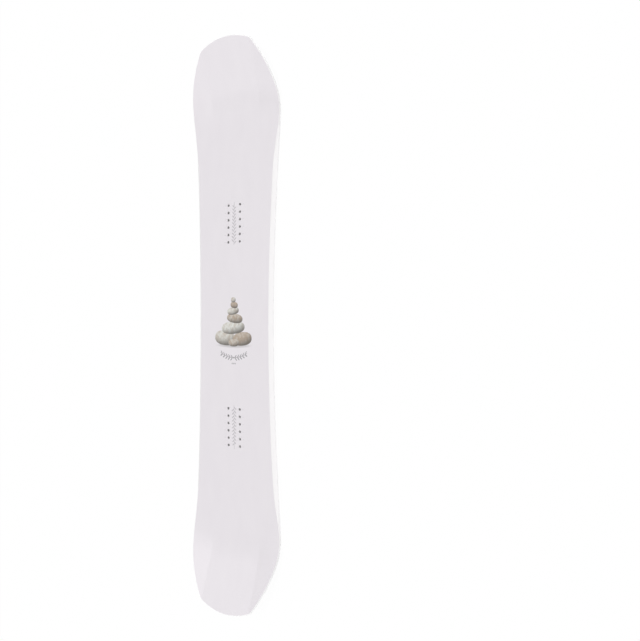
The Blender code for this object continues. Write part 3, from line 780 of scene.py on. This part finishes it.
def facing_out(points, groups):
    """Face groups of a closed shape, turned over where its signed volume, the sum of the
    tetrahedra from the origin to a fan of triangles on each face, comes out negative."""
    volume = 0.0
    for faces in groups:
        first, second, third = points[faces[:, :1]], points[faces[:, 1:-1]], points[faces[:, 2:]]
        volume += (first * np.cross(second, third)).sum()
    return [faces[:, ::-1] for faces in groups] if volume < 0 else groups


def add_piece(name, node, points, groups, flat, finish, slot):
    """Puts a closed mesh into the scene in place of the solid that it stands for. The attribute
    flat keeps each point's place on the flat board or along its strip, for the finish."""
    faces = [face for group in facing_out(points, groups) for face in group.tolist()]
    mesh = bpy.data.meshes.new(name)
    mesh.from_pydata(points.tolist(), [], faces)
    layer = mesh.attributes.new("flat", "FLOAT_VECTOR", "POINT")
    layer.data.foreach_set("vector", flat.astype(np.float32).ravel())
    mesh.shade_smooth()
    mesh.set_sharp_from_angle(angle=SHARP_ANGLE)
    mesh.materials.append(finish)
    piece = bpy.data.objects.new(name, mesh)
    bpy.context.scene.collection.objects.link(piece)
    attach(piece, BODY)
    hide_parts(node)


def grid_faces(rows, lanes, closed=False):
    """Corner numbers of a grid's quads. A closed grid joins its last lane to its first."""
    row = np.arange(rows - 1)[:, None] * lanes
    lane = np.arange(lanes if closed else lanes - 1)[None, :]
    after = (lane + 1) % lanes
    corners = (row + lane, row + after, row + lanes + after, row + lanes + lane)
    return np.stack(corners, axis=-1).reshape(-1, 4)


def shell_faces(faces, count):
    """Faces of two surfaces of count points each, closed into one: where a face's edge has no
    neighbour, a wall joins the upper edge to the lower one."""
    start = faces.ravel()
    end = np.roll(faces, -1, axis=1).ravel()
    alone = ~np.isin(start * count + end, end * count + start)
    start, end = start[alone], end[alone]
    walls = np.stack([start, start + count, end + count, end], axis=-1)
    return np.concatenate([faces, faces[:, ::-1] + count, walls])


# Sheets

INSERT_RUNS = STANCE / 2 + (np.arange(INSERT_ROWS) - (INSERT_ROWS - 1) / 2) * INSERT_PITCH
INNER_LINES = np.linspace(-HOLE_SHARE, HOLE_SHARE, 9)
CELL_LINES = HOLE_CELL * np.concatenate([[-1.0, -0.8], INNER_LINES, [0.8, 1.0]])
ROUNDING = 0.01
MIDDLE_ROWS = 45
FORM_ROWS = 29
TIP_ROWS = 19
STRAIGHT_LANES = 0.030
STRAIGHT_SHARES = np.linspace(0.0, 1.0, 8)
FINE_LANES = np.concatenate([
    [0.0, 0.005, 0.010],
    INSERT_COLUMN + CELL_LINES,
    [STRAIGHT_LANES],
])
PANEL_SHARES = np.linspace(0.0, 1.0, 14)[1:]
CREASE_BAND = 0.003
CREASE_SHARES = np.array([0.2, 0.4, 0.5, 0.6, 0.8, 1.0])
RIM_SHARES = np.linspace(0.0, 1.0, 16)[1:]


def side_runs(start, fine):
    """Distances along half the side where a sheet has rows, closer together where it bends and,
    for a sheet with holes, round the inserts."""
    runs = np.concatenate([
        np.linspace(0.0, LIFT_START, MIDDLE_ROWS),
        np.linspace(LIFT_START, FORM_END, FORM_ROWS)[1:],
        np.linspace(FORM_END, CORNER_START, TIP_ROWS)[1:],
    ])
    if fine:
        around = INSERT_RUNS[:, None] + CELL_LINES
        between = INSERT_RUNS[1:] - INSERT_PITCH / 2
        clear = (runs < around.min() - HOLE_CELL) | (runs > around.max() + HOLE_CELL)
        runs = np.concatenate([runs[clear], around.ravel(), between])
    runs = np.unique(np.append(runs, start))
    return runs[runs >= start]


def lanes(width, reach, fine):
    """Places across a sheet, one row for each half width: straight lanes in the middle, then lanes
    that run with the crease, some of them close beside it, and on to the rim."""
    straight = FINE_LANES / STRAIGHT_LANES if fine else STRAIGHT_SHARES
    shares = [straight, PANEL_SHARES, CREASE_SHARES, RIM_SHARES]
    crease = np.minimum(crease_width(reach), width - CREASE_BAND / 2)
    beside = np.minimum(CREASE_BAND, (width - crease) / 2)
    knots = [0 * width, 0 * width + STRAIGHT_LANES, crease - beside, crease + beside, width]
    half = np.concatenate([
        start[:, None] * (1 - share) + end[:, None] * share
        for start, end, share in zip(knots, knots[1:], shares)
    ], axis=1)
    return np.concatenate([-half[:, :0:-1], half], axis=1)


def sheet_places(inset, fine, start, front):
    """Flat s, y and distance from the rim on a sheet's grid, for the outline moved in by inset.

    Each row crosses the board at one place of the side. From the form's end on it is bent, by the
    square of its share of the way, until the last row is the tip's own line and ends at the middle
    of the round corners. With front, a function of y, the grid covers one tip only, and its first
    row is bent to that line in the same way.
    """
    part = quarter(side_runs(start, fine))
    amount = inset(part[0])
    s, y = part[0] - amount * part[2], part[1] - amount * part[3]
    last = part.shape[1] - TIP_STEPS - CORNER_STEPS // 2
    tip_s, tip_y = s[:last - 2:-1], y[:last - 2:-1]
    reach, width = s[:last], y[:last]
    if front is None:
        reach = np.concatenate([-reach[:0:-1], reach])
        width = np.concatenate([width[:0:-1], width])
    y = lanes(width, np.abs(reach), fine)
    way = np.clip((np.abs(reach) - FORM_END) / (reach[-1] - FORM_END), 0.0, 1.0)
    bulge = np.interp(np.abs(y[-1]), tip_y, tip_s) - reach[-1]
    s = reach[:, None] + (np.sign(reach) * way ** 2)[:, None] * bulge
    if front is not None:
        back = (reach[-1] - reach) / (reach[-1] - reach[0])
        s = s + (back ** 2)[:, None] * (front(np.abs(y[0])) - reach[0])
    from_tip = np.interp(np.abs(y), tip_y, tip_s) - np.abs(s)
    return s, y, np.minimum(width[:, None] - np.abs(y), from_tip)


def open_holes(s, y, faces):
    """Moves the grid round each insert from a square cell to a round hole, and drops the faces
    inside it. A point between them lies between the circle and the square by its share of the
    way."""
    nearest = INSERT_RUNS[np.abs(np.abs(s)[..., None] - INSERT_RUNS).argmin(-1)]
    along = np.abs(s) - nearest
    across = np.abs(y) - INSERT_COLUMN
    square = np.maximum(np.abs(along), np.abs(across)) / HOLE_CELL
    way = np.clip((square - HOLE_SHARE) / (1 - HOLE_SHARE), 0.0, 1.0)
    distance = np.maximum(np.hypot(along, across), SEAM)
    stretch = np.where(square < 1, way + (1 - way) * HOLE_RADIUS / distance, 1.0)
    inside = (square < HOLE_SHARE + ROUNDING).ravel()
    s = np.sign(s) * (nearest + along * stretch)
    y = np.sign(y) * (INSERT_COLUMN + across * stretch)
    return s, y, faces[~inside[faces].all(axis=1)]


def add_sheet(name, node, finish, slot, rims, fine=False, end=1, front=None):
    """A layer over the whole board or, with front, over one tip. rims are the inset and the height
    of its upper and of its lower surface, as functions of s."""
    points = []
    flat = []
    for inset, height in rims:
        s, y, rim = sheet_places(inset, fine, 0.0 if front is None else JOINT_START, front)
        faces = grid_faces(*s.shape)
        if fine:
            s, y, faces = open_holes(s, y, faces)
        points.append(press(end * s, y, height(s)).reshape(-1, 3))
        flat.append(np.stack([end * s, y, rim], axis=-1).reshape(-1, 3))
    used, faces = np.unique(shell_faces(faces, len(points[0])), return_inverse=True)
    points = np.concatenate(points)[used]
    flat = np.concatenate(flat)[used]
    add_piece(name, node, points, [faces.reshape(-1, 4)], flat, finish, slot)


def joint_line(y):
    """The joint between core and spacer: a parabola that bulges towards the tip, then straight."""
    width, slope = side_width(JOINT_START)
    core = width - SIDEWALL_WIDTH * math.hypot(1, slope)
    share = np.minimum(y / core, 1.0)
    return JOINT_START + JOINT_GAP + JOINT_BULGE * (1 - share ** 2)


# Strips round the rim

STRIP_ROWS = 60
STRIP_TIP_ROWS = 30


def add_strip(name, node, finish, slot, part, side, profile):
    """Carries a closed profile along the outline. Each corner of the profile is an inset, square
    to the outline, and a height, both functions of s, and a flat face closes each end."""
    step = np.hypot(*np.diff(part[:2], axis=1))
    length = np.concatenate([[0.0], np.cumsum(step)])
    points = []
    flat = []
    for inset, height in profile:
        amount = inset(part[0])
        s = part[0] - amount * part[2]
        y = side * (part[1] - amount * part[3])
        points.append(press(s, y, height(s)))
        flat.append(np.stack([length, amount, height(s)], axis=-1))
    points = np.stack(points, axis=1)
    rows, corners = points.shape[:2]
    ring = np.arange(corners)[None, :]
    groups = [grid_faces(rows, corners, closed=True), ring[:, ::-1], ring + (rows - 1) * corners]
    flat = np.stack(flat, axis=1).reshape(-1, 3)
    add_piece(name, node, points.reshape(-1, 3), groups, flat, finish, slot)


def edge_path():
    """Half the outline, from the middle of the tail round one side to the middle of the nose, with
    stops at both sides of each tooth."""
    centres = np.arange(0.0, FORM_END - TOOTH_PITCH, TOOTH_PITCH)
    stops = centres[:, None] + TOOTH_HALF * np.array([-TOOTH_FOOT, -1.0, 0.0, 1.0, TOOTH_FOOT])
    tip_stops = np.linspace(FORM_END - TOOTH_PITCH, CORNER_START, STRIP_TIP_ROWS)
    runs = np.concatenate([stops.ravel(), tip_stops])
    return both_ends(quarter(np.unique(runs[runs >= 0])))


def tooth_reach(s):
    """Inset of the flange's inner side: a trapezoid wave whose tops are the teeth. They are
    TOOTH_FOOT times as wide where they leave the flange."""
    run = np.abs(s)
    away = np.abs(run - TOOTH_PITCH * np.round(run / TOOTH_PITCH)) / TOOTH_HALF
    tooth = np.clip((TOOTH_FOOT - away) / (TOOTH_FOOT - 1), 0.0, 1.0)
    tooth = tooth * (run < FORM_END - TOOTH_PITCH)
    return FLANGE_REACH + (TOOTH_REACH - FLANGE_REACH) * tooth


def add_edge(name, node, finish, side):
    """A steel edge: a square head with small chamfers, and a toothed flange over the base."""
    outer, outer_cut = all_along(0.0), all_along(EDGE_CHAMFER)
    inner, inner_cut = all_along(EDGE_WIDTH), all_along(EDGE_WIDTH - EDGE_CHAMFER)
    foot, foot_cut = all_along(0.0), all_along(EDGE_CHAMFER)
    head, head_cut = all_along(EDGE_HEIGHT), all_along(EDGE_HEIGHT - EDGE_CHAMFER)
    flange = all_along(FLANGE_BOTTOM)
    profile = [
        (outer_cut, foot),
        (outer, foot_cut),
        (outer, head_cut),
        (outer_cut, head),
        (tooth_reach, head),
        (tooth_reach, flange),
        (inner, flange),
        (inner, foot_cut),
        (inner_cut, foot),
    ]
    add_strip(name, node, finish, "edge_steel", edge_path(), side, profile)


def side_path():
    """The side of the outline, between the two tip spacers."""
    return both_ends(side_line(np.concatenate([
        np.linspace(0.0, LIFT_START, STRIP_ROWS),
        np.linspace(LIFT_START, JOINT_START - JOINT_GAP, STRIP_TIP_ROWS)[1:],
    ])))


def add_side_strip(name, node, finish, slot, side, low, high, set_back=0.0, steps=5):
    """A strip on the slanted side between two heights. It runs along the bevel in equal steps."""
    profile = []
    for share in np.linspace(0.0, 1.0, steps):
        def height(s, share=share):
            return low(s) + (high(s) - low(s)) * share
        profile.append((bevel(height, set_back), height))
    inner = all_along(SIDEWALL_WIDTH)
    add_strip(name, node, finish, slot, side_path(), side, profile + [(inner, high), (inner, low)])


# Inserts

INSERT_TOP = MIDDLE_THICKNESS - INSERT_SUNK
THREAD_TOP = INSERT_TOP - MOUTH_DEPTH
TURN_STEPS = 32
STEPS_PER_THREAD = 8


def insert_shape():
    """Radius, angle and height on a closed grid: an outer profile turned round the axis, and a
    bore whose radius is THREAD_CORE plus a helical wave, one turn of the angle for each thread."""
    shoulder = CORE_BOTTOM + FLANGE_THICKNESS
    chamfer = EDGE_CHAMFER
    outer = np.array([
        (MOUTH_RADIUS, CORE_BOTTOM),
        (FLANGE_RADIUS - chamfer, CORE_BOTTOM),
        (FLANGE_RADIUS, CORE_BOTTOM + chamfer),
        (FLANGE_RADIUS, shoulder),
        (BARREL_RADIUS, shoulder),
        (BARREL_RADIUS, INSERT_TOP - chamfer),
        (BARREL_RADIUS - chamfer, INSERT_TOP),
        (MOUTH_RADIUS, INSERT_TOP),
    ])
    count = int((THREAD_TOP - CORE_BOTTOM) / THREAD_PITCH * STEPS_PER_THREAD)
    bore = np.linspace(THREAD_TOP, CORE_BOTTOM + chamfer, count)
    angle = np.linspace(0.0, 2 * math.pi, TURN_STEPS, endpoint=False)
    wave = 0.5 + 0.5 * np.cos(2 * math.pi * bore[:, None] / THREAD_PITCH - angle)
    radius = np.concatenate([
        np.repeat(outer[:, :1], TURN_STEPS, axis=1),
        THREAD_CORE + THREAD_DEPTH * wave,
    ])
    height = np.concatenate([outer[:, 1], bore])[:, None] + 0 * radius
    return radius, angle + 0 * radius, height


def add_inserts(finish):
    """All the threaded inserts, each square to the pressed core at its place."""
    radius, angle, height = insert_shape()
    rows = len(radius)
    faces = grid_faces(rows + 1, TURN_STEPS, closed=True) % (rows * TURN_STEPS)
    across, along = radius * np.sin(angle), radius * np.cos(angle)
    flat = np.stack([across, along, height], axis=-1).reshape(-1, 3)
    for foot, end in (("nose", 1), ("tail", -1)):
        for column, side in (("toe", 1), ("heel", -1)):
            for row in range(INSERT_ROWS):
                ahead = ((INSERT_ROWS - 1) / 2 - row) * INSERT_PITCH
                s = np.full(2, end * STANCE / 2 + ahead)
                y = np.full(2, side * INSERT_COLUMN)
                ground, above = press(s, y, np.array([0.0, 1.0]))
                up = above - ground
                forward = np.array([up[2], 0.0, -up[0]])
                points = ground + flat[:, 1:2] * forward + flat[:, 2:] * up
                points[:, 1] += flat[:, 0]
                tag = f"{foot}_{column}_{row + 1}"
                names = (f"threaded_bush_{tag}", f"insert_{tag}")
                add_piece(*names, points, [faces], flat, finish, "insert_steel")


# The board

def add_board():
    """Every piece that is made again here: the sheets from the topsheet down to the base, the fill
    of both tips, the strips along both sides and the inserts."""
    glass = (laminate_finish(), "glass_laminate")
    filler = (spacer_finish(), "spacer_plastic")
    foil = (rubber_finish(), "damping_rubber")
    wall = (sidewall_finish(), "sidewall_plastic")
    steel = edge_finish()

    print_bottom = below_top(TOPSHEET_THICKNESS)
    upper_top = below_top(TOPSHEET_THICKNESS + SEAM)
    upper_bottom = below_top(LAMINATE_DEPTH)
    core_top = below_top(LAMINATE_DEPTH + SEAM)
    over_edge = all_along(EDGE_HEIGHT + SEAM)
    under_wall = all_along(DAMPING_TOP)
    wall_bottom = all_along(DAMPING_TOP + SEAM)
    within_teeth = all_along(TOOTH_REACH + GLUE_GAP)
    within_edge = all_along(EDGE_WIDTH + EDGE_SEAM)

    rims = [(bevel(thickness), thickness), (bevel(print_bottom), print_bottom)]
    topsheet = (topsheet_finish(), "topsheet_plastic")
    add_sheet("printed_sheet", "topsheet", *topsheet, rims, fine=True)
    rims = [(bevel(upper_top), upper_top), (bevel(upper_bottom), upper_bottom)]
    add_sheet("upper_glass", "top_laminate", *glass, rims, fine=True)
    lower_top, lower_bottom = all_along(EDGE_HEIGHT), all_along(BASE_THICKNESS + SEAM)
    rims = [(within_teeth, lower_top), (within_teeth, lower_bottom)]
    add_sheet("lower_glass", "bottom_laminate", *glass, rims)
    rims = [(within_edge, all_along(BASE_THICKNESS)), (within_edge, all_along(0.0))]
    add_sheet("running_sheet", "base", running_finish(), "running_plastic", rims)
    rims = [(bevel(core_top), core_top), (bevel(over_edge), over_edge)]
    for tip, end in (("nose", 1), ("tail", -1)):
        add_sheet(f"{tip}_fill", f"{tip}_spacer", *filler, rims, end=end, front=joint_line)
    for name, side in (("toe", 1), ("heel", -1)):
        add_edge(f"{name}_steel", f"{name}_edge", steel, side)
        names = (f"{name}_foil", f"{name}_damping_strip")
        add_side_strip(*names, *foil, side, over_edge, under_wall, FOIL_SET_BACK, steps=2)
        add_side_strip(f"{name}_wall", f"{name}_sidewall", *wall, side, wall_bottom, core_top)
    add_inserts(insert_finish())


def dress_laths():
    """Wood finishes for the laths, which keep their solids: pale and brown by turns."""
    woods = (wood_finish("pale_wood", *PALE_WOOD), wood_finish("brown_wood", *BROWN_WOOD))
    for number in range(LATHS):
        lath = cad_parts[f"core_lath_{number + 1}"]
        wood = woods[number % 2]
        if not lath.material_slots:
            lath.data.materials.append(wood)
        for place in lath.material_slots:
            place.material = wood


# Studio

def add_camera():
    """The photograph's camera: over the heel side, with the nose up in the picture."""
    data = bpy.data.cameras.new("camera")
    data.lens = LENS
    data.sensor_width = SENSOR
    data.clip_end = VIEW_END
    camera = bpy.data.objects.new("camera", data)
    back = (EYE - AIM).normalized()
    right = Vector((1.0, 0.0, 0.0)).cross(back).normalized()
    turn = Matrix((right, back.cross(right), back)).transposed()
    camera.matrix_world = Matrix.Translation(EYE) @ turn.to_4x4()
    bpy.context.scene.collection.objects.link(camera)
    bpy.context.scene.camera = camera


def add_lamp(name, elevation, azimuth, breadth, strength, casts):
    """A far lamp. elevation is above the horizon and azimuth from X towards Y, in degrees. The low
    fill lamps cast no shadow, or the raised tips would darken the board behind them, and no glint,
    or the top would wash out where it mirrors them."""
    data = bpy.data.lights.new(name, "SUN")
    data.energy = math.pi * strength
    data.angle = math.radians(breadth)
    data.use_shadow = casts
    lamp = bpy.data.objects.new(name, data)
    climb, turn = math.radians(elevation), math.radians(azimuth)
    reach = math.cos(climb)
    towards = Vector((reach * math.cos(turn), reach * math.sin(turn), math.sin(climb)))
    lamp.rotation_euler = towards.to_track_quat("Z", "Y").to_euler()
    lamp.location = towards * LAMP_DISTANCE
    lamp.visible_glossy = casts
    bpy.context.scene.collection.objects.link(lamp)


def seen_share(finish):
    """1 for a ray from the camera, or one that reaches a mirror or goes through glass."""
    rays = ("Is Camera Ray", "Is Glossy Ray", "Is Transmission Ray")
    camera, glossy, through = (finish.node("ShaderNodeLightPath", output=ray) for ray in rays)
    return camera.max(glossy).max(through)


def add_world():
    """White all round: at full strength where it is seen, softer where it lights."""
    studio = Finish("studio", "worlds")
    lit = {"Color": WHITE, "Strength": WORLD_STRENGTH}
    light = studio.node("ShaderNodeBackground", {}, lit)
    seen = studio.node("ShaderNodeBackground", {}, {"Color": WHITE, "Strength": 1.0})
    choice = studio.node("ShaderNodeMixShader", {}, {0: seen_share(studio), 1: light, 2: seen})
    studio.node("ShaderNodeOutputWorld", {}, {"Surface": choice})
    bpy.context.scene.world = studio.block


def add_floor():
    """A white floor that takes the board's shadow. It is there only for rays that see it from
    above, so that the running base can be lit and seen from below."""
    finish = Finish("studio_floor")
    behind = finish.node("ShaderNodeNewGeometry", output="Backfacing")
    shown = seen_share(finish) * (1.0 - behind)
    clear = finish.node("ShaderNodeBsdfTransparent")
    matt = finish.node("ShaderNodeBsdfDiffuse", {}, {"Color": WHITE})
    glow = finish.node("ShaderNodeEmission", {}, {"Color": WHITE, "Strength": 1.0})
    surface = finish.node("ShaderNodeMixShader", {}, {0: 1.0 - FLOOR_SHADOW, 1: matt, 2: glow})
    choice = finish.node("ShaderNodeMixShader", {}, {0: shown, 1: clear, 2: surface})
    finish.node("ShaderNodeOutputMaterial", {}, {"Surface": choice})
    x = FLOOR_REACH * np.array([-1.0, 1.0, 1.0, -1.0])
    y = FLOOR_REACH * np.array([-1.0, -1.0, 1.0, 1.0])
    mesh = bpy.data.meshes.new("floor")
    mesh.from_pydata(np.stack([x, y, 0 * x + FLOOR_LEVEL], axis=-1).tolist(), [], [(0, 1, 2, 3)])
    mesh.materials.append(finish.block)
    floor = bpy.data.objects.new("floor", mesh)
    bpy.context.scene.collection.objects.link(floor)


add_board()
dress_laths()
add_camera()
add_world()
add_floor()
for lamp in LAMPS:
    add_lamp(*lamp)
bpy.context.scene.view_settings.view_transform = "Standard"
